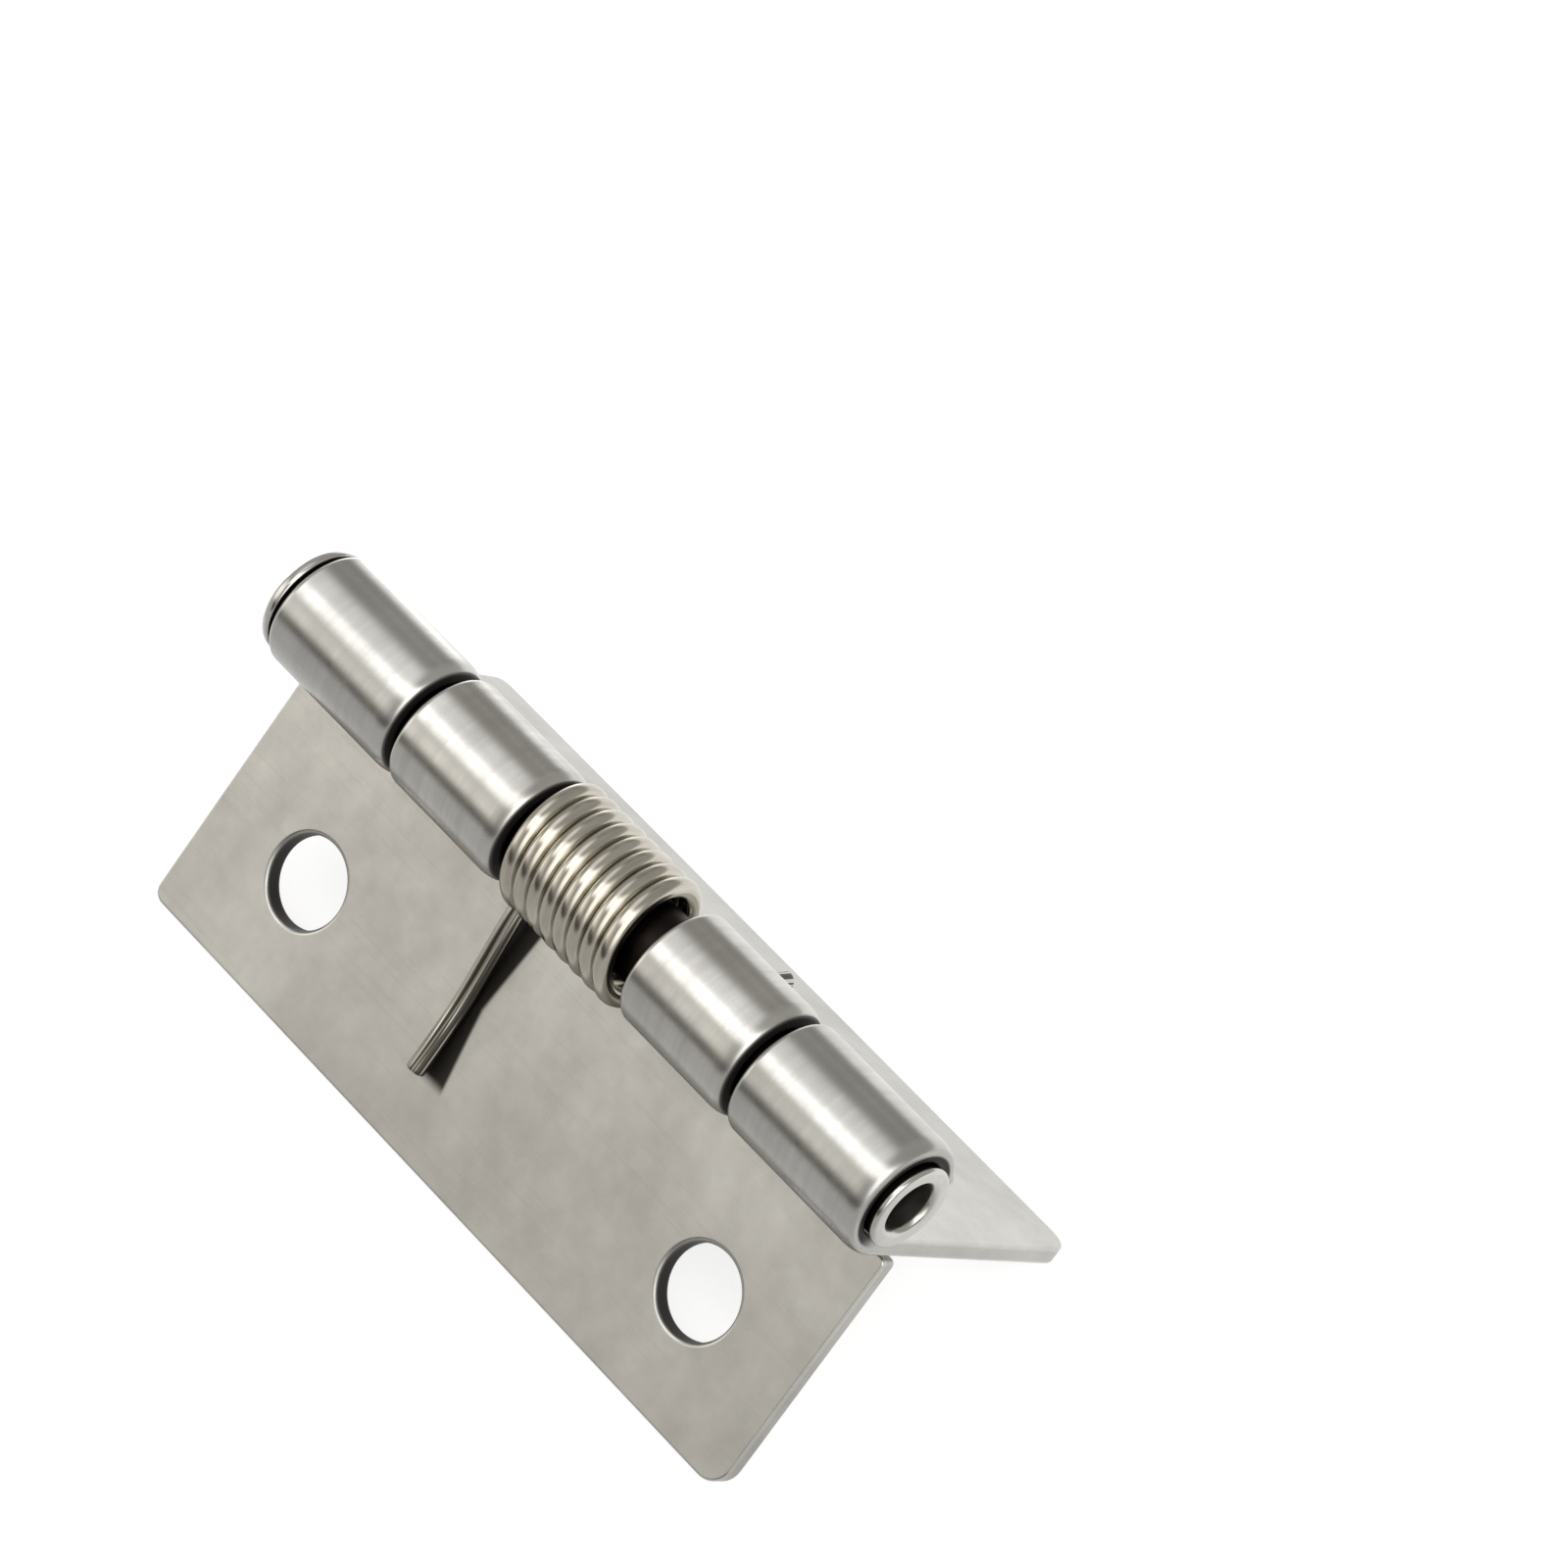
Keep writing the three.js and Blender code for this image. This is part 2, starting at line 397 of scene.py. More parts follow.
@dataclass(frozen=True)
class SheetFinish(MetalFinish):
    """Bright rolled sheet: satin flats, burnished where it is curled round the pin.

    Scales are in cells per metre, and spans are in millimetres, from where a mask leaves 0
    to where it reaches 1. head_shadow, mouth_shadow and leg_shadow_and_reflection are
    shade painted on the sheet for good, not shade that the lights cast; the last stands for
    the leg's shadow and reflection beside it. The hole walls, the inside of the barrel and
    the knuckles' cut ends in the gaps are darkened with painted shade as well.
    """

    rolled_roughness: float = 0.26
    seed: float = 0.0
    head_shadow: float = 0.0
    mouth_shadow: float = 0.0
    leg_shadow_and_reflection: float = 0.0
    patch_scale: float = 75.0
    cloud_scale: float = 260.0
    mottle_scale: float = 900.0
    pit_scale: float = 5200.0
    grain_scale: float = 3600.0
    scratch_scale: float = 4200.0
    ring_scale: float = 1900.0
    depth: float = 0.0016
    rolled_span: Span = (0.6, -1.6)
    torn_span: Span = (0.42, 0.30)
    inside_span: Span = (-0.22, -0.50)
    between_span: Span = (24.80, 24.60)
    head_span: Span = (-24.74, -24.88)
    mouth_span: Span = (24.80, 24.92)
    mouth_level_span: Span = (0.08, -0.10)
    leg_place: float = 4.95
    leg_slant: float = 0.057
    mark_waist: float = 10.5
    mark_half: float = 0.90
    mark_flare: float = 0.13
    mark_spans: tuple[Span, Span, Span, Span] = (
        (0.14, -0.14),
        (-0.5, -0.2),
        (3.8, 4.8),
        (16.0, 15.2),
    )
    mark_level_span: Span = (0.1, -0.3)

    def _leg_wedge(self, graph: Graph, run: Value, along: Value, level: Value) -> Value:
        """The dark wedge beside the spring's leg on the plate.

        It stands for the leg's shadow and reflection, and is fixed to the sheet, so it
        doesn't follow the light.

        Args:
            graph: The material's graph.
            run: Distance from where the sheet leaves the barrel.
            along: Distance along the pin.
            level: Distance from the middle of the sheet, negative on the leg's side.

        Returns:
            How dark the mark is, between 0 and 1.
        """
        beside = self.leg_place * MM - run * self.leg_slant - along
        from_waist = (run - self.mark_waist * MM).magnitude()
        past_edge = beside - (self.mark_half * MM + self.mark_flare * from_waist)
        mark = graph.smooth_step(level, self.mark_level_span)
        for given, span in zip((past_edge, beside, run, run), self.mark_spans):
            mark = mark * graph.smooth_step(given, span)
        return mark * self.leg_shadow_and_reflection

    def material(self) -> bpy.types.Material:
        """Builds the material.

        Returns:
            The finished material.
        """
        graph, shader, material = self.start()
        place = graph.attribute("sheet_place").outputs["Vector"]
        parts = graph.node("ShaderNodeSeparateXYZ", None, {0: place})
        run, along = graph.value(parts, 0), graph.value(parts, 1)
        level = graph.value(parts, 2)
        shifted = graph.vector("ADD", place, (self.seed, self.seed, self.seed))

        rolled = graph.smooth_step(run, self.rolled_span)
        patches = graph.noise(shifted, self.patch_scale)
        cloud = graph.noise(shifted, self.cloud_scale, 3.0)
        mottle = graph.noise(shifted, self.mottle_scale, 3.0)
        pits = graph.noise(shifted, self.pit_scale)
        grain = graph.noise(shifted, self.grain_scale, 2.0, (1.0, 0.06, 1.0))
        hair_lines = graph.noise(shifted, self.scratch_scale, 1.0, (1.0, 0.022, 1.0))
        scratches = graph.smooth_step(hair_lines, (0.52, 0.86), 1.0)
        ring_lines = graph.noise(shifted, self.ring_scale, 2.0, (0.05, 1.0, 1.0))
        rings = (ring_lines - 0.5) * rolled
        torn = graph.smooth_step(level.magnitude(), self.torn_span)

        inside = graph.smooth_step(level, self.inside_span) * rolled
        between = graph.smooth_step(along.magnitude(), self.between_span) * rolled
        at_head = graph.smooth_step(along, self.head_span) * rolled
        at_mouth = graph.smooth_step(along, self.mouth_span) * rolled
        lip = graph.smooth_step(level, self.mouth_level_span) * (1.0 - inside)
        punched = graph.value(graph.attribute("hole_wall"), "Fac")
        # Painted shade: the punched hole walls, the inside of the barrel, the knuckles' cut ends in the
        # gaps, the barrel's end at the pin's head and its lip at the pin's mouth are darkened where shade
        # falls, and the wedge beside the spring's leg is the leg's painted shadow and reflection.
        painted_shade = punched * 0.95 + inside * 0.9 + between * torn * 0.8
        painted_shade = painted_shade + at_head * self.head_shadow + at_mouth * lip * self.mouth_shadow
        if self.leg_shadow_and_reflection:
            painted_shade = painted_shade + self._leg_wedge(graph, run, along, level)
        tone = (
            0.42
            + (patches - 0.5) * 1.0
            + (cloud - 0.5) * 0.9
            + (mottle - 0.5) * 0.35
            + scratches * 0.08
            + rings * 0.8
            + torn * 0.35
        )
        flat_gloss = self.roughness + (cloud - 0.5) * 0.10 + (mottle - 0.5) * 0.08
        rolled_gloss = self.rolled_roughness + (mottle - 0.5) * 0.05
        gloss = flat_gloss + (rolled_gloss - flat_gloss) * rolled
        gloss = gloss + scratches * 0.03 + rings * 0.10 + torn * 0.16
        relief = mottle * 0.7 + grain * 0.10 + rings * 0.35 + torn * pits * 1.5
        self.finish(graph, shader, tone, gloss, relief, self.depth, painted_shade)
        return material


@dataclass(frozen=True)
class WireFinish(MetalFinish):
    """Drawn spring wire with fine lines along it, and painted shade and dark reflections as streaks on its
    legs.
    """

    depth: float = 0.0018
    line_stretch: tuple[float, float, float] = (9.0, 9.0, 260.0)
    patch_stretch: tuple[float, float, float] = (1.2, 1.2, 420.0)
    speck_stretch: tuple[float, float, float] = (3.0, 3.0, 3200.0)
    streak_stretch: tuple[float, float, float] = (3.4, 3.4, 90.0)
    streak_span: Span = (0.47, 0.56)
    streak_painted_shade: float = 0.88

    def material(self) -> bpy.types.Material:
        """Builds the material.

        Returns:
            The finished material.
        """
        graph, shader, material = self.start()
        along = graph.value(graph.attribute("along"), "Fac")
        around = graph.attribute("around").outputs["Vector"]
        along_part = graph.node("ShaderNodeCombineXYZ", None, {2: along}).outputs[0]
        place = graph.vector("ADD", around, along_part)
        lines = graph.noise(place, 1.0, 3.0, self.line_stretch)
        patches = graph.noise(place, 1.0, 3.0, self.patch_stretch)
        specks = graph.noise(place, 1.0, 2.0, self.speck_stretch)
        tone = 0.45 + (patches - 0.5) * 1.3 + (lines - 0.5) * 0.6
        gloss = self.roughness + (patches - 0.5) * 0.10 + (specks - 0.5) * 0.08
        relief = lines * 0.8 + specks * 0.4
        # Painted shade and painted dark reflections: dark streaks along the spring's legs.
        streaks = graph.noise(place, 1.0, 1.0, self.streak_stretch)
        on_leg = graph.value(graph.attribute("on_leg"), "Fac")
        painted_shade = graph.smooth_step(streaks, self.streak_span, 1.0) * on_leg
        self.finish(
            graph, shader, tone, gloss, relief, self.depth, painted_shade * self.streak_painted_shade
        )
        return material


@dataclass(frozen=True)
class TurnedFinish(MetalFinish):
    """Drawn and headed pin, bright outside and duller down its bore, with painted shade on its shank and
    deep in its bore.

    Spans are in millimetres from the pin's axis or from its middle.
    """

    depth: float = 0.0018
    cloud_scale: float = 420.0
    mottle_scale: float = 2200.0
    draw_scale: float = 5200.0
    bore_span: Span = (1.72, 1.60)
    head_span: Span = (-25.32, -25.20)
    rim_span: Span = (25.16, 25.02)
    deep_span: Span = (24.9, 24.2)

    def material(self) -> bpy.types.Material:
        """Builds the material.

        Returns:
            The finished material.
        """
        graph, shader, material = self.start()
        place = graph.node("ShaderNodeTexCoord").outputs["Object"]
        centred = graph.vector("SUBTRACT", place, tuple(pin_axis_point(PIN_MIDDLE)))
        across = graph.vector("MULTIPLY", centred, (0.0, 1.0, 1.0))
        length = graph.node("ShaderNodeVectorMath", {"operation": "LENGTH"}, {0: across})
        bore = graph.smooth_step(graph.value(length, "Value"), self.bore_span)
        cloud = graph.noise(centred, self.cloud_scale, 3.0)
        mottle = graph.noise(centred, self.mottle_scale)
        draw_lines = graph.noise(centred, self.draw_scale, 2.0, (0.05, 1.0, 1.0))
        tone = 0.35 + (cloud - 0.5) * 0.9 + (mottle - 0.5) * 0.4 + bore * 0.3
        gloss = self.roughness + (mottle - 0.5) * 0.10 + bore * 0.12
        relief = mottle * 0.8 + draw_lines * 0.6
        reach = graph.value(graph.node("ShaderNodeSeparateXYZ", None, {0: centred}), 0)
        shank = graph.smooth_step(reach, self.head_span)
        shank = shank * graph.smooth_step(reach, self.rim_span)
        deep = graph.smooth_step(reach.magnitude(), self.deep_span)
        # Painted shade: the shank between the head and the rim, and the bore deep in from its mouth, are
        # darkened where shade falls.
        painted_shade = shank * (1.0 - bore) + bore * deep * 0.8
        self.finish(graph, shader, tone, gloss, relief, self.depth, painted_shade)
        return material


@dataclass(frozen=True)
class FloorFinish:
    """Plain pale floor, lit from below as a light table is, brighter behind the hinge.

    The camera sees the plain floor, while the hinge is lit by the uneven glow alone.
    Spans are in millimetres on the floor, from where a change starts to where it is full.
    """

    body: Colour = (0.55, 0.55, 0.55)
    roughness: float = 0.75
    colour: Colour = (0.93, 0.93, 0.93)
    glow: float = 0.72
    near_glow: float = 0.56
    far_glow: float = 1.15
    side_glow: float = 1.6
    behind_span: Span = (-30.0, 30.0)
    beside_span: Span = (-30.0, -55.0)
    near_span: Span = (80.0, 40.0)

    def material(self) -> bpy.types.Material:
        """Builds the material.

        Returns:
            The finished material.
        """
        material, graph = empty_material("pale_floor")
        table = graph.node(
            "ShaderNodeBsdfPrincipled",
            None,
            {
                "Base Color": rgba(self.body),
                "Roughness": self.roughness,
                "Emission Color": rgba(self.colour),
                "Emission Strength": self.glow,
            },
        )
        place = graph.node("ShaderNodeTexCoord").outputs["Object"]
        parts = graph.node("ShaderNodeSeparateXYZ", None, {0: place})
        left, back = graph.value(parts, 0), graph.value(parts, 1)
        behind = graph.smooth_step(back, self.behind_span)
        beside = graph.smooth_step(left, self.beside_span)
        beside = beside * graph.smooth_step(back, self.near_span) * behind
        spread = self.near_glow + (self.far_glow - self.near_glow) * behind
        spread = spread + beside * self.side_glow
        glow = graph.node("ShaderNodeEmission", None, {"Strength": spread})
        seen = graph.value(graph.node("ShaderNodeLightPath"), "Is Camera Ray")
        mixed = graph.node(
            "ShaderNodeMixShader", None, {0: seen, 1: glow.outputs[0], 2: table.outputs[0]}
        )
        graph.node("ShaderNodeOutputMaterial", None, {"Surface": mixed.outputs[0]})
        return material


# Leaves


class Side(Enum):
    """Which way a leaf runs down from the pin."""

    FRONT = -1
    REAR = 1

    def turned(self, reach: float, proud: float, along: float) -> Vector:
        """A direction in the leaf frame turned into the row frame.

        Args:
            reach: Away from the pin, towards the free edge.
            proud: Towards the side that the barrel stands on.
            along: Along the pin.

        Returns:
            The same direction in the row frame.
        """
        way = self.value
        return Vector(
            (way * along, way * (reach + proud) * ROOT_HALF, (proud - reach) * ROOT_HALF)
        )

    def placed(self, reach: float, proud: float, along: float) -> Vector:
        """A point in the leaf frame, in millimetres, as a row frame point in metres."""
        offset = Vector((PIN_MIDDLE, 0.0, PIN_HEIGHT))
        return (offset + self.turned(reach, proud, along)) * MM


@dataclass(frozen=True)
class Curl:
    """The line that the middle of the sheet follows: round the pin, then straight out."""

    radius: float = BORE_RADIUS + SHEET / 2
    seam: float = math.radians(-36.0)
    tangent: float = math.radians(270.0)

    @property
    def length(self) -> float:
        """Length of the curled part."""
        return self.radius * (self.tangent - self.seam)

    def point(self, run: float, level: float) -> tuple[float, float]:
        """Where a point of the flat blank goes.

        Args:
            run: Distance along the sheet from where it leaves the barrel, negative round it.
            level: Distance from the middle of the sheet, positive to the barrel's outside.

        Returns:
            Reach and proud of the rolled point.
        """
        if run >= 0.0:
            return run, -self.radius - level
        angle = self.tangent + run / self.radius
        distance = self.radius + level
        return distance * math.cos(angle), distance * math.sin(angle)

    def normal(self, run: float, level: float, flat: Vector) -> tuple[float, float, float]:
        """How a normal of the flat blank turns.

        Args:
            run: As for point().
            level: As for point().
            flat: The normal on the blank: along the run, along the pin, out of the sheet.

        Returns:
            Its parts along reach, proud and the pin.
        """
        if run >= 0.0:
            return flat.x, -flat.z, flat.y
        angle = self.tangent + run / self.radius
        tangential = flat.x / (1.0 + level / self.radius)
        return (
            -tangential * math.sin(angle) + flat.z * math.cos(angle),
            tangential * math.cos(angle) + flat.z * math.sin(angle),
            flat.y,
        )


@dataclass(frozen=True)
class Corner:
    """A square corner of the blank and how far it is rounded."""

    run: float
    along: float
    radius: float


@dataclass
class Leaf:
    """A stamped blank with two screw holes, rolled round the pin."""

    side: Side
    name: str
    node: str
    body: str
    corners: list[Corner]
    finish: SheetFinish
    curl: Curl = field(default_factory=Curl)
    plate_rounds: tuple[float, float] = (0.26, 0.15)
    knuckle_rounds: tuple[float, float] = (0.42, 0.34)
    near_stretch: float = 2.5
    root_runs: tuple[float, float] = (0.3, -1.5)
    hole_radius: float = 2.65
    hole_reach: float = 12.8
    hole_spacing: float = 34.4
    hole_lip: float = 0.30
    hole_back_round: float = 0.12
    round_steps: int = 6
    least_corner_steps: int = 4
    corner_steps_per_mm: int = 8
    hole_sides: int = 72
    curl_step: float = math.radians(2.5)

    def _outline(self) -> Loop:
        """The blank's outline, anticlockwise.

        Returns:
            Points with the direction that points out of the sheet at each.
        """
        points: Loop = []
        count = len(self.corners)
        for index, corner in enumerate(self.corners):
            here = Vector((corner.run, corner.along))
            before = self.corners[index - 1]
            after = self.corners[(index + 1) % count]
            inward = (here - Vector((before.run, before.along))).normalized()
            onward = (Vector((after.run, after.along)) - here).normalized()
            first = Vector((inward.y, -inward.x))
            last = Vector((onward.y, -onward.x))
            convex = inward.x * onward.y - inward.y * onward.x > 0.0
            bulge = corner.radius if convex else -corner.radius
            centre = here - (first + last) * bulge
            steps = round(corner.radius * self.corner_steps_per_mm)
            steps = max(self.least_corner_steps, steps)
            for step in range(steps + 1):
                angle = step / steps * math.pi / 2
                out = first * math.cos(angle) + last * math.sin(angle)
                points.append((centre + out * bulge, out))
        return self._with_roots(points)

    def _with_roots(self, points: Loop) -> Loop:
        """Adds points to the straight edges that run from the plate into the barrel.

        Args:
            points: The outline without them.

        Returns:
            The outline, whose rounding can change where the curl starts.
        """
        plate_end, knuckle_start = self.root_runs
        full: Loop = []
        for index, (point, out) in enumerate(points):
            full.append((point, out))
            after = points[(index + 1) % len(points)][0]
            if (point.x > 0.0) == (after.x > 0.0):
                continue
            runs = (plate_end, knuckle_start) if point.x > 0.0 else (knuckle_start, plate_end)
            full += [(Vector((run, point.y)), out) for run in runs]
        return full

    def _hole(self, along: float) -> Loop:
        """One screw hole, clockwise.

        Args:
            along: Place of the hole's centre along the pin.

        Returns:
            Points with the direction that points out of the sheet, into the hole.
        """
        centre = Vector((self.hole_reach, along))
        points: Loop = []
        for index in range(self.hole_sides):
            angle = -2.0 * math.pi * index / self.hole_sides
            spoke = Vector((math.cos(angle), math.sin(angle)))
            points.append((centre + spoke * self.hole_radius, -spoke))
        return points

    def _edge_profile(
        self, back: float, proud: float, stretch: float = 1.0
    ) -> list[tuple[float, float, float]]:
        """Section of the sheet's edge from its proud face to its back face.

        Args:
            back: Rounding on the back face, the outside of the barrel.
            proud: Rounding on the proud face.
            stretch: How much longer than deep the rounding on the back face is.

        Returns:
            Inset, level and slope of each ring. Slope 0 faces out of the edge.
        """
        half = SHEET / 2
        rings = []
        for radius, way, length in ((proud, -1.0, 1.0), (back, 1.0, stretch)):
            arc = []
            for step in range(self.round_steps + 1):
                turn = step / self.round_steps * math.pi / 2
                inset = length * radius * (1.0 - math.cos(turn))
                level = half - radius * (1.0 - math.sin(turn))
                slope = math.atan2(length * math.sin(turn), math.cos(turn))
                arc.append((inset, way * level, way * slope))
            rings.extend(reversed(arc) if way < 0 else arc)
        return rings

    def _wall(
        self,
        mesh: bmesh.types.BMesh,
        loop: Loop,
        rounds: tuple[float, float] | None,
    ) -> tuple[list[bmesh.types.BMVert], list[bmesh.types.BMVert]]:
        """Adds the rounded edge along one loop.

        Args:
            mesh: The mesh that is being made.
            loop: The outline or a hole.
            rounds: Rounding on the back and proud faces of a hole, or None for the
                outline, whose knuckles are rounder than the plate.

        Returns:
            The rings of vertices where the edge meets the proud face and the back face.
        """
        layer = mesh.verts.layers.float_vector["flat_normal"]
        wall = mesh.verts.layers.float["hole_wall"]
        sections = []
        for point, out in loop:
            if rounds:
                sections.append(self._edge_profile(*rounds))
            elif point.x > 0.0:
                sections.append(self._edge_profile(*self.plate_rounds))
            else:
                near = max(0.0, self.side.value * out.y)
                stretch = 1.0 + (self.near_stretch - 1.0) * near
                sections.append(self._edge_profile(*self.knuckle_rounds, stretch))
        punched = 1.0 if rounds else 0.0
        rings = []
        for index in range(len(sections[0])):
            ring = []
            for (point, out), section in zip(loop, sections):
                inset, level, slope = section[index]
                place = point - out * inset
                vert = mesh.verts.new((place.x, place.y, level))
                side = out * math.cos(slope)
                vert[layer] = Vector((side.x, side.y, math.sin(slope)))
                vert[wall] = punched * math.cos(slope) ** 2
                ring.append(vert)
            rings.append(ring)
        for low, high in zip(rings, rings[1:]):
            for index in range(len(loop)):
                after = (index + 1) % len(loop)
                mesh.faces.new((low[index], low[after], high[after], high[index]))
        return rings[0], rings[-1]

    def _face(
        self,
        mesh: bmesh.types.BMesh,
        rings: list[list[bmesh.types.BMVert]],
        upward: bool,
    ) -> None:
        """Fills one flat face of the blank between the outline and the holes.

        Args:
            mesh: The mesh that is being made.
            rings: The outline's ring first, then one ring for each hole.
            upward: True for the back face.
        """
        verts = [vert for ring in rings for vert in ring]
        owner = [number for number, ring in enumerate(rings) for _ in ring]
        edges = []
        start = 0
        for ring in rings:
            size = len(ring)
            edges += [(start + i, start + (i + 1) % size) for i in range(size)]
            start += size
        flat = [Vector((vert.co.x, vert.co.y)) for vert in verts]
        _, _, faces, source, _, _ = delaunay_2d_cdt(flat, edges, [], 1, JOIN_TOLERANCE)
        for face in faces:
            corners = [source[index][0] for index in face]
            rings_met = {owner[corner] for corner in corners}
            if len(rings_met) == 1 and rings_met != {0}:
                continue
            if len(rings_met) == 1 and not self._covers(flat, corners):
                continue
            picked = [verts[corner] for corner in corners]
            mesh.faces.new(picked if upward else picked[::-1])

    def _covers(self, flat: list[Vector], corners: list[int]) -> bool:
        """Tells whether a triangle between points of the outline lies on the sheet.

        Args:
            flat: The points of the face.
            corners: The triangle's three points, by their place in the list.

        Returns:
            True if its middle is inside the outline.
        """
        middle = sum((flat[corner] for corner in corners), Vector((0.0, 0.0))) / 3.0
        inside = False
        outline = [(corner.run, corner.along) for corner in self.corners]
        for (x0, y0), (x1, y1) in zip(outline, outline[1:] + outline[:1]):
            if (y0 > middle.y) != (y1 > middle.y):
                cross = x0 + (middle.y - y0) / (y1 - y0) * (x1 - x0)
                inside ^= middle.x < cross
        return inside

    def _blank(self) -> bmesh.types.BMesh:
        """The flat blank: x along the run, y along the pin, z out of the back face.

        Returns:
            The closed mesh, cut across into narrow strips where it will be curled.
        """
        mesh = bmesh.new()
        mesh.verts.layers.float_vector.new("flat_normal")
        mesh.verts.layers.float.new("hole_wall")
        walls = [self._wall(mesh, self._outline(), None)]
        for way in (-1.0, 1.0):
            hole = self._hole(way * self.hole_spacing / 2)
            walls.append(self._wall(mesh, hole, (self.hole_back_round, self.hole_lip)))
        self._face(mesh, [wall[0] for wall in walls], False)
        self._face(mesh, [wall[1] for wall in walls], True)
        strips = round((self.curl.tangent - self.curl.seam) / self.curl_step)
        for index in range(1, strips + 1):
            cut = -self.curl.length * (1.0 - index / strips)
            bmesh.ops.bisect_plane(
                mesh,
                geom=mesh.verts[:] + mesh.edges[:] + mesh.faces[:],
                dist=CUT_TOLERANCE,
                plane_co=(cut, 0.0, 0.0),
                plane_no=(1.0, 0.0, 0.0),
            )
        return mesh

    def build(self) -> bpy.types.Object:
        """Makes the leaf.

        Returns:
            The leaf's object, riding on its body.
        """
        mesh = self._blank()
        layer = mesh.verts.layers.float_vector["flat_normal"]
        places, normals = [], []
        for vert in mesh.verts:
            run, along, level = vert.co
            places.append((run * MM, along * MM, level * MM))
            turned = self.curl.normal(run, level, vert[layer])
            normals.append(self.side.turned(*turned).normalized())
            vert.co = self.side.placed(*self.curl.point(run, level), along)
        mesh.verts.layers.float_vector.remove(layer)
        data = bpy.data.meshes.new(self.name)
        mesh.to_mesh(data)
        mesh.free()
        place = data.attributes.new("sheet_place", "FLOAT_VECTOR", "POINT")
        place.data.foreach_set("vector", [part for point in places for part in point])
        surfaced(data, normals, self.finish.material())
        leaf = linked(self.name, data)
        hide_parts(self.node)
        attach(leaf, self.body)
        return leaf


@dataclass
class FrontLeaf:
    """The leaf with the two inner knuckles, cut back beside the spring."""

    stop_reach: float = 4.0
    clear_reach: float = 4.5
    knuckle: tuple[float, float] = (5.4, 14.18)
    near_knuckle_start: float = 5.8
    corner_round: float = 1.5
    far_corner_round: float = 0.8
    cut_round: float = 0.35
    knuckle_round: float = 1.2
    notch_round: float = 0.4

    def build(self, finish: SheetFinish, curl: Curl) -> bpy.types.Object:
        """Makes the leaf.

        Args:
            finish: Its metal.
            curl: The way the sheet is rolled.

        Returns:
            The leaf's object.
        """
        half = LENGTH / 2
        near, far = self.knuckle
        seam = -curl.length
        stop, clear = self.stop_reach, self.clear_reach
        tip, notch, cut = self.knuckle_round, self.notch_round, self.cut_round
        corners = [
            Corner(stop, -half, cut),
            Corner(LEAF_REACH, -half, self.corner_round),
            Corner(LEAF_REACH, half, self.far_corner_round),
            Corner(stop, half, cut),
            Corner(stop, far, notch),
            Corner(seam, far, tip),
            Corner(seam, near, tip),
            Corner(clear, near, notch),
            Corner(clear, -self.near_knuckle_start, notch),
            Corner(seam, -self.near_knuckle_start, tip),
            Corner(seam, -far, tip),
            Corner(stop, -far, notch),
        ]
        leaf = Leaf(
            Side.FRONT, "front_leaf_sheet", "front_leaf", "front", corners, finish, curl
        )
        return leaf.build()


@dataclass
class RearLeaf:
    """The leaf with the two outer knuckles and one long cut between them."""

    clear_reach: float = 4.5
    knuckle_start: float = 14.82
    corner_round: float = 1.5
    far_corner_round: float = 0.8
    knuckle_round: float = 1.2
    notch_round: float = 0.4

    def build(self, finish: SheetFinish, curl: Curl) -> bpy.types.Object:
        """Makes the leaf.

        Args:
            finish: Its metal.
            curl: The way the sheet is rolled.

        Returns:
            The leaf's object.
        """
        half = LENGTH / 2
        seam = -curl.length
        start, tip = self.knuckle_start, self.knuckle_round
        corners = [
            Corner(seam, -half, tip),
            Corner(LEAF_REACH, -half, self.far_corner_round),
            Corner(LEAF_REACH, half, self.corner_round),
            Corner(seam, half, tip),
            Corner(seam, start, tip),
            Corner(self.clear_reach, start, self.notch_round),
            Corner(self.clear_reach, -start, self.notch_round),
            Corner(seam, -start, tip),
        ]
        leaf = Leaf(
            Side.REAR, "rear_leaf_sheet", "rear_leaf", "rear", corners, finish, curl
        )
        return leaf.build()


# Pin


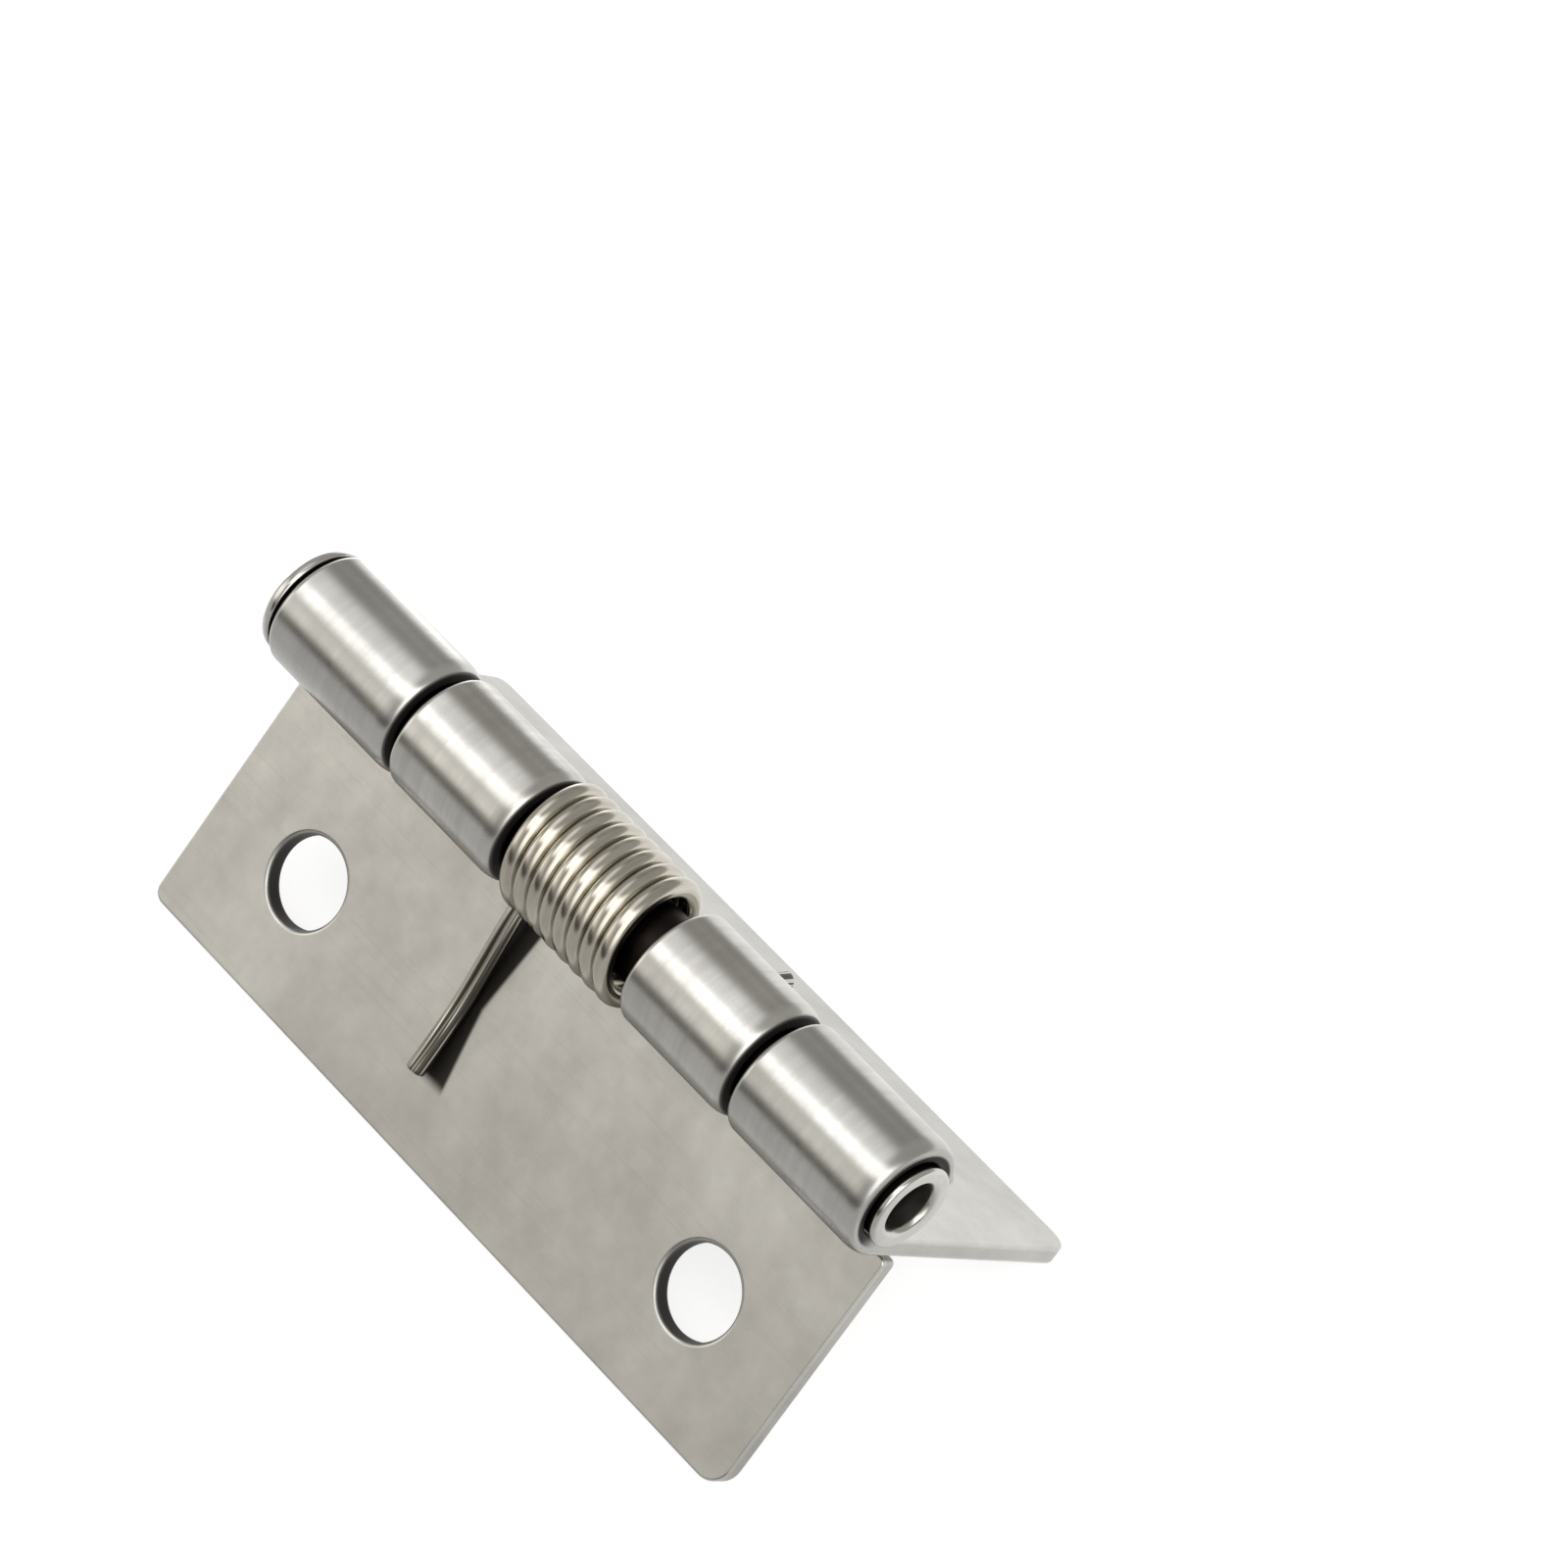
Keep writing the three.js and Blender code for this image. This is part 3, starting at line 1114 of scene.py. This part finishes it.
@dataclass
class Pin:
    """Tubular pin with a domed head at -X and a rolled rim round its bore at +X."""

    finish: TurnedFinish
    radius: float = 2.42
    head_radius: float = 3.45
    head_thickness: float = 0.96
    head_gap: float = 0.24
    head_round: float = 0.74
    head_under_round: float = 0.2
    head_turn: float = 84.0
    dome_share: float = 0.45
    dome_drop: float = 0.004
    rim_radius: float = 2.62
    rim_height: float = 0.55
    rim_gap: float = 0.1
    rim_round: float = 0.26
    rim_turn: float = 60.0
    rim_neck: float = 0.12
    bore_radius: float = 1.58
    bore_depth: float = 12.0
    bore_end_share: float = 0.9
    bore_end_drops: tuple[float, float] = (0.6, 0.9)
    mouth_round: float = 0.42
    sides: int = 112
    arc_steps: int = 6

    def _arc(
        self, middle: tuple[float, float], radius: float, start: float, end: float
    ) -> list[tuple[float, float]]:
        """Points of an arc of the profile.

        Args:
            middle: Radius and height of the arc's centre.
            radius: The arc's radius.
            start: First angle, in degrees.
            end: Last angle, in degrees.

        Returns:
            Radius and height of each point.
        """
        points = []
        across, up = middle
        for step in range(self.arc_steps + 1):
            angle = math.radians(start + (end - start) * step / self.arc_steps)
            spoke = (radius * math.cos(angle), radius * math.sin(angle))
            points.append((across + spoke[0], up + spoke[1]))
        return points

    def _profile(self) -> list[tuple[float, float]]:
        """The pin's half section, from the bottom of the bore, over the rim, to the head.

        Returns:
            Radius and height of each point, with the head upwards.
        """
        half = LENGTH / 2
        rim_top = -half - self.rim_gap
        rim_bottom = rim_top - self.rim_height
        head_bottom = half + self.head_gap
        head_top = head_bottom + self.head_thickness
        bore_top = rim_bottom + self.bore_depth
        mouth = self.mouth_round
        rim, turn = self.rim_round, self.rim_turn
        crown, under = self.head_round, self.head_under_round
        bore, wide = self.bore_radius, self.head_radius
        first_drop, last_drop = self.bore_end_drops
        return [
            (0.0, bore_top),
            (bore * self.bore_end_share, bore_top - first_drop),
            (bore, bore_top - last_drop),
            *self._arc((bore + mouth, rim_bottom + mouth), mouth, 180.0, 270.0),
            *self._arc((self.rim_radius - rim, rim_bottom + rim), rim, -90.0, turn),
            (self.radius, rim_top + self.rim_neck),
            (self.radius, head_bottom),
            *self._arc((wide - under, head_bottom + under), under, -90.0, 0.0),
            *self._arc((wide - crown, head_top - crown), crown, 0.0, self.head_turn),
            (wide * self.dome_share, head_top - self.dome_drop),
            (0.0, head_top),
        ]

    def build(self) -> bpy.types.Object:
        """Makes the pin by turning its profile.

        Returns:
            The pin's object, riding with the rear leaf.
        """
        profile = self._profile()
        slopes = []
        for index in range(len(profile)):
            slope = Vector((0.0, 0.0))
            for first, last in ((index - 1, index), (index, index + 1)):
                if first >= 0 and last < len(profile):
                    step = Vector(profile[last]) - Vector(profile[first])
                    slope += Vector((step.y, -step.x))
            slopes.append(slope.normalized())
        slopes[0], slopes[-1] = Vector((0.0, -1.0)), Vector((0.0, 1.0))
        verts, normals = [], []
        for (radius, height), slope in zip(profile, slopes):
            for index in range(self.sides if radius > 0.0 else 1):
                angle = 2.0 * math.pi * index / self.sides
                spoke = Vector((0.0, math.cos(angle), math.sin(angle)))
                centre = pin_axis_point(PIN_MIDDLE - height)
                verts.append(centre + spoke * radius * MM)
                normals.append(spoke * slope.x + Vector((-slope.y, 0.0, 0.0)))
        faces = []
        rings = len(profile) - 2
        last = len(verts) - 1
        for index in range(self.sides):
            after = (index + 1) % self.sides
            faces.append((0, 1 + index, 1 + after))
            for ring in range(rings - 1):
                low = 1 + ring * self.sides
                high = low + self.sides
                faces.append((low + index, high + index, high + after, low + after))
            top = 1 + (rings - 1) * self.sides
            faces.append((last, top + after, top + index))
        data = bpy.data.meshes.new("hinge_pin")
        data.from_pydata(verts, [], faces)
        data.validate()
        surfaced(data, normals, self.finish.material())
        pin = linked("hinge_pin", data)
        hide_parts("pin")
        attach(pin, "rear")
        return pin


# Spring


@dataclass
class TorsionSpring:
    """Close-wound torsion spring round the pin, with one leg on each leaf."""

    finish: WireFinish
    wire: float = 1.12
    coil_radius: float = 3.4
    pitch: float = 1.13
    whole_turns: int = 8
    leg_reach: float = 15.5
    splay: float = 0.6
    bend_radius: float = 1.2
    clearance: float = 0.52
    touch_reach: float = 11.3
    touch_gap: float = 0.03
    tip_gap: float = 0.30
    tip_ease: float = 1.5
    leg_angle: float = math.radians(135.0)
    lean: float = 0.06
    lean_shares: tuple[float, float] = (0.9, 0.44)
    drift: float = -0.25
    wire_sides: int = 18
    step: float = 0.22
    bend_steps: int = 12
    tip_offsets: tuple[float, ...] = (0.0, 0.04, 0.09)
    tip_scales: tuple[float, ...] = (0.80, 0.92, 0.98)
    tip_round: float = 0.14
    sharp_angle: float = math.radians(50.0)
    wound_span: Span = (-3.4, 3.1)

    def __post_init__(self) -> None:
        """Works out the wire's run from its sizes."""
        self.lift = BORE_RADIUS - self.wire / 2 - self.clearance
        self.bend_lift = self.lift + self.bend_radius
        far = self.coil_radius + self.bend_radius
        self.bend_reach = math.sqrt(far**2 - self.bend_lift**2)
        lean = math.atan2(self.bend_lift, self.bend_reach)
        self.bend_sweep = math.pi / 2 - lean
        self.coil_start = math.pi - lean
        self.sweep = 2 * math.pi * self.whole_turns
        self.sweep += 2 * (self.coil_start - self.leg_angle)
        self.drop = self.pitch * self.sweep / (2 * math.pi)

    def _leg(self) -> list[Vector]:
        """Middle of the wire from the upper leg's tip to the coil.

        Returns:
            Points with the pin upright: x and y across it and z along it.
        """
        high = self.drop / 2
        straight = self.leg_reach - self.bend_reach
        steps = round(straight / self.step)
        offsets = [*self.tip_offsets, self.tip_round]
        offsets += [
            self.tip_round + (straight - self.tip_round) * index / steps
            for index in range(1, steps)
        ]
        points = []
        for run in offsets:
            reach = self.leg_reach - run
            out = (reach - self.bend_reach) / straight
            lift = self.lift + self._sink(reach)
            points.append(Vector((-reach, lift, high - self.splay * out)))
        for index in range(self.bend_steps + 1):
            angle = math.pi / 2 + self.bend_sweep * index / self.bend_steps
            across = self.bend_reach + self.bend_radius * math.cos(angle)
            lift = -self.bend_lift + self.bend_radius * math.sin(angle)
            points.append(Vector((-across, -lift, high)))
        return points

    def _sink(self, reach: float) -> float:
        """How far a leg has come down to its leaf from where it leaves the bend.

        Args:
            reach: Distance from the pin's axis along the leaf.

        Returns:
            Distance towards the leaf.
        """
        deepest = self.clearance - self.touch_gap
        if reach > self.touch_reach:
            part = (reach - self.touch_reach) / (self.leg_reach - self.touch_reach)
            return deepest - (self.tip_gap - self.touch_gap) * part**self.tip_ease
        part = (reach - self.bend_reach) / (self.touch_reach - self.bend_reach)
        return deepest * part * part * (3.0 - 2.0 * part)

    def _path(self) -> list[Vector]:
        """Middle of the whole wire with the pin upright.

        Returns:
            Points from the tip on the front leaf to the tip on the rear leaf.
        """
        start = self._leg()
        steps = round(self.coil_radius * self.sweep / self.step)
        coil = []
        for index in range(1, steps):
            angle = self.coil_start - self.sweep * index / steps
            spoke = Vector((math.cos(angle), math.sin(angle), 0.0)) * self.coil_radius
            spoke.z = self.drop * (0.5 - index / steps)
            coil.append(spoke)
        end = [Vector((-p.y, -p.x, -p.z)) for p in reversed(start)]
        return start + coil + end

    def _laid_down(self, point: Vector) -> Vector:
        """Lays a point of the upright wire down into the row frame.

        Args:
            point: The point with the pin upright, in millimetres.

        Returns:
            The same point in metres, where the coil leans a little off the pin.
        """
        back = (point.x + point.y) * ROOT_HALF
        across = Vector((0.0, back, (point.x - point.y) * ROOT_HALF))
        back_share, up_share = self.lean_shares
        slant = -self.lean * (across.y * back_share + across.z * up_share)
        slant *= min(1.0, self.coil_radius**2 / across.length_squared)
        return pin_axis_point(PIN_MIDDLE + self.drift - point.z + slant) + across * MM

    def _sweep_tree(self) -> bpy.types.NodeTree:
        """Node tree that draws round wire along a chain of edges.

        Returns:
            The tree, with the wire's diameter, its sides and its metal as inputs.
        """
        tree = bpy.data.node_groups.new("wire_along_path", "GeometryNodeTree")
        for name, kind in (
            ("Path", "NodeSocketGeometry"),
            ("Wire Diameter", "NodeSocketFloat"),
            ("Wire Sides", "NodeSocketInt"),
            ("Metal", "NodeSocketMaterial"),
        ):
            tree.interface.new_socket(name=name, in_out="INPUT", socket_type=kind)
        tree.interface.new_socket(
            name="Wire", in_out="OUTPUT", socket_type="NodeSocketGeometry"
        )
        graph = Graph(tree)
        given = graph.node("NodeGroupInput")
        size = graph.value(given, "Wire Diameter")
        path = graph.node("GeometryNodeMeshToCurve", None, {"Mesh": given.outputs["Path"]})
        length = graph.node("GeometryNodeSplineParameter").outputs["Length"]
        marked = graph.node(
            "GeometryNodeStoreNamedAttribute",
            {"data_type": "FLOAT", "domain": "POINT"},
            {"Geometry": path.outputs[0], "Name": "along", "Value": length},
        )
        circle = graph.node(
            "GeometryNodeCurvePrimitiveCircle",
            {"mode": "RADIUS"},
            {"Resolution": given.outputs["Wire Sides"], "Radius": size * 0.5},
        )
        place = graph.node("GeometryNodeInputPosition").outputs[0]
        unit = graph.vector("NORMALIZE", place)
        ring = graph.node(
            "GeometryNodeStoreNamedAttribute",
            {"data_type": "FLOAT_VECTOR", "domain": "POINT"},
            {"Geometry": circle.outputs[0], "Name": "around", "Value": unit},
        )
        thickness = graph.node(
            "GeometryNodeInputNamedAttribute", {"data_type": "FLOAT"}, {"Name": "thickness"}
        ).outputs[0]
        swept = graph.node(
            "GeometryNodeCurveToMesh",
            None,
            {
                "Curve": marked.outputs[0],
                "Profile Curve": ring.outputs[0],
                "Scale": thickness,
                "Fill Caps": True,
            },
        )
        smooth = graph.node(
            "GeometryNodeSetShadeSmooth", None, {"Geometry": swept.outputs[0]}
        )
        real = graph.node(
            "GeometryNodeRealizeInstances", None, {"Geometry": smooth.outputs[0]}
        )
        dressed = graph.node(
            "GeometryNodeSetMaterial",
            None,
            {"Geometry": real.outputs[0], "Material": given.outputs["Metal"]},
        )
        graph.node("NodeGroupOutput", None, {0: dressed.outputs[0]})
        return tree

    def build(self) -> bpy.types.Object:
        """Makes the spring and winds it between the two leaves.

        Returns:
            The spring's object, blended along the pin.
        """
        path = self._path()
        chain = bpy.data.meshes.new("wire_path")
        edges = [(index, index + 1) for index in range(len(path) - 1)]
        chain.from_pydata([self._laid_down(point) for point in path], edges, [])
        thickness = chain.attributes.new("thickness", "FLOAT", "POINT")
        tip = list(self.tip_scales)
        scale = tip + [1.0] * (len(path) - 2 * len(tip)) + tip[::-1]
        thickness.data.foreach_set("value", scale)
        legs = chain.attributes.new("on_leg", "FLOAT", "POINT")
        leg = len(self._leg())
        marks = [1.0] * leg + [0.0] * (len(path) - 2 * leg) + [1.0] * leg
        legs.data.foreach_set("value", marks)
        spring = linked("wound_spring", chain)

        tree = self._sweep_tree()
        modifier = spring.modifiers.new("wire", "NODES")
        modifier.node_group = tree
        settings = {
            "Wire Diameter": self.wire * MM,
            "Wire Sides": self.wire_sides,
            "Metal": self.finish.material(),
        }
        for item in tree.interface.items_tree:
            if item.name in settings and item.in_out == "INPUT":
                modifier[item.identifier] = settings[item.name]
        depsgraph = bpy.context.evaluated_depsgraph_get()
        data = bpy.data.meshes.new_from_object(spring.evaluated_get(depsgraph))
        data.name = "wound_spring"
        spring.modifiers.remove(modifier)
        spring.data = data
        data.set_sharp_from_angle(angle=self.sharp_angle)
        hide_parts("torsion_spring")
        # The winding turns over the coil alone, so each leg stays on its leaf.
        first, last = self.wound_span
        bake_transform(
            spring,
            "front",
            "rear",
            start=tuple(pin_axis_point(first)),
            end=tuple(pin_axis_point(last)),
        )
        return spring


# Studio


@dataclass(frozen=True)
class Zone:
    """A patch of the studio's surroundings with its own brightness.

    It is round, or longer along X where the squeeze is under 1. It is full within the
    inner angle from its middle and gone past the outer one, both in degrees.
    """

    towards: tuple[float, float, float]
    inner: float
    outer: float
    colour: Colour
    squeeze: float = 1.0


@dataclass(frozen=True)
class Lamp:
    """A soft square lamp that looks at the hinge."""

    name: str
    towards: tuple[float, float, float]
    distance: float
    width: float
    height: float
    power: float
    colour: Colour = (1.0, 1.0, 1.0)

    def build(self, aim: Vector) -> None:
        """Hangs the lamp.

        Args:
            aim: The point it looks at, in metres.
        """
        data = bpy.data.lights.new(self.name, "AREA")
        data.shape = "RECTANGLE"
        data.size, data.size_y = self.width, self.height
        data.energy = self.power
        data.color = self.colour
        lamp = linked(self.name, data)
        away = Vector(self.towards).normalized()
        lamp.location = aim + away * self.distance
        lamp.rotation_euler = (-away).to_track_quat("-Z", "Y").to_euler()


@dataclass
class Studio:
    """Pale floor, soft surroundings, lamps and the camera.

    The camera sees the backdrop, while the hinge is lit by the dome and its zones.
    """

    floor_half: float = 2.5
    floor_finish: FloorFinish = field(default_factory=FloorFinish)
    backdrop: Colour = (1.0, 1.0, 1.0)
    dome: Colour = (0.46, 0.455, 0.44)
    strength: float = 1.0
    zones: tuple[Zone, ...] = (
        Zone((-0.42, -0.80, 0.43), 5.0, 26.0, (0.90, 0.885, 0.84)),
        Zone((-0.80, -0.57, 0.24), 8.0, 27.0, (1.60, 1.57, 1.51)),
        Zone((0.75, -0.30, 0.58), 12.0, 38.0, (2.00, 2.00, 1.96)),
        Zone((-0.46, 0.05, 0.88), 4.0, 30.0, (1.12, 1.12, 1.14)),
        Zone((-0.25, -0.96, 0.04), 8.0, 22.0, (0.07, 0.055, 0.045), 0.3),
        Zone((-0.46, 0.86, 0.22), 4.0, 14.0, (0.30, 0.29, 0.27)),
        Zone((-0.46, 0.62, 0.63), 4.0, 16.0, (0.33, 0.32, 0.30)),
        Zone((0.97, 0.02, 0.16), 5.0, 15.0, (0.06, 0.055, 0.05)),
    )
    lamps: tuple[Lamp, ...] = (
        Lamp("strip_lamp", (0.05, -0.31, 0.95), 0.9, 1.6, 0.40, 3.3),
    )
    aim: tuple[float, float, float] = (2.4, 10.4, 20.5)
    azimuth: float = 49.6
    elevation: float = 52.7
    roll: float = 1.6
    distance: float = 394.3
    lens: float = 170.4
    sensor: float = 36.0
    clip: tuple[float, float] = (0.01, 10.0)

    def _floor(self) -> None:
        """Lays the floor, which stays out of the export."""
        half = self.floor_half
        data = bpy.data.meshes.new("floor")
        corners = [(-half, -half, 0), (half, -half, 0), (half, half, 0), (-half, half, 0)]
        data.from_pydata(corners, [], [(0, 1, 2, 3)])
        data.materials.append(self.floor_finish.material())
        floor = linked("floor", data)

    def _surroundings(self) -> None:
        """Builds the soft surroundings that light the hinge and show in its metal."""
        world = bpy.data.worlds.new("studio")
        bpy.context.scene.world = world
        world.use_nodes = True
        world.node_tree.nodes.clear()
        graph = Graph(world.node_tree)
        way = graph.node("ShaderNodeTexCoord").outputs["Generated"]
        colour: object = rgba(self.dome)
        for zone in self.zones:
            shape = Vector((zone.squeeze, 1.0, 1.0))
            towards = (Vector(zone.towards) * shape).normalized()
            squeezed = graph.vector("MULTIPLY", way, tuple(shape))
            facing = graph.node(
                "ShaderNodeVectorMath",
                {"operation": "DOT_PRODUCT"},
                {0: graph.vector("NORMALIZE", squeezed), 1: tuple(towards)},
            )
            span = (math.cos(math.radians(zone.outer)), math.cos(math.radians(zone.inner)))
            mask = graph.smooth_step(graph.value(facing, "Value"), span, 1.0)
            colour = graph.blend_colours(mask, colour, rgba(zone.colour))
        seen = graph.value(graph.node("ShaderNodeLightPath"), "Is Camera Ray")
        colour = graph.blend_colours(seen, colour, rgba(self.backdrop))
        background = graph.node(
            "ShaderNodeBackground", None, {"Color": colour, "Strength": self.strength}
        )
        graph.node("ShaderNodeOutputWorld", None, {"Surface": background.outputs[0]})

    def _camera(self) -> None:
        """Places the camera."""
        turn, rise = math.radians(self.azimuth), math.radians(self.elevation)
        level_way = Vector((math.sin(turn), -math.cos(turn), 0.0))
        back = level_way * math.cos(rise) + Vector((0.0, 0.0, math.sin(rise)))
        data = bpy.data.cameras.new("camera")
        data.lens = self.lens
        data.sensor_width = self.sensor
        data.clip_start, data.clip_end = self.clip
        camera = linked("camera", data)
        camera.location = (Vector(self.aim) + back * self.distance) * MM
        level = (-back).to_track_quat("-Z", "Y")
        lean = Quaternion((0.0, 0.0, 1.0), math.radians(self.roll))
        camera.rotation_euler = (level @ lean).to_euler()
        bpy.context.scene.camera = camera

    def build(self) -> None:
        """Sets up the floor, light and camera."""
        self._floor()
        self._surroundings()
        aim = pin_axis_point(0.0)
        for lamp in self.lamps:
            lamp.build(aim)
        self._camera()
        view = bpy.context.scene.view_settings
        view.view_transform = "Standard"
        view.look = "None"


def main() -> None:
    """Builds the hinge piece by piece, then the studio."""
    logging.basicConfig(level=logging.INFO, format="%(name)s: %(message)s")
    curl = Curl()
    front_metal = SheetFinish(
        "front_leaf_metal",
        (0.66, 0.645, 0.605),
        (0.44, 0.425, 0.395),
        0.26,
        seed=0.31,
        leg_shadow_and_reflection=0.95,
    )
    rear_metal = SheetFinish(
        "rear_leaf_metal",
        (0.62, 0.61, 0.575),
        (0.46, 0.45, 0.42),
        0.26,
        seed=0.77,
        head_shadow=0.9,
        mouth_shadow=0.95,
    )
    pieces = [
        FrontLeaf().build(front_metal, curl),
        RearLeaf().build(rear_metal, curl),
        Pin(TurnedFinish("pin_metal", (0.64, 0.625, 0.59), (0.45, 0.435, 0.40), 0.2)).build(),
        TorsionSpring(
            WireFinish("wire_metal", (0.62, 0.585, 0.505), (0.40, 0.37, 0.31), 0.20)
        ).build(),
    ]
    for piece in pieces:
        LOG.info("%s: %d faces", piece.name, len(piece.data.polygons))
    Studio().build()
    LOG.info("studio is set")


if __name__ == "__main__":
    main()
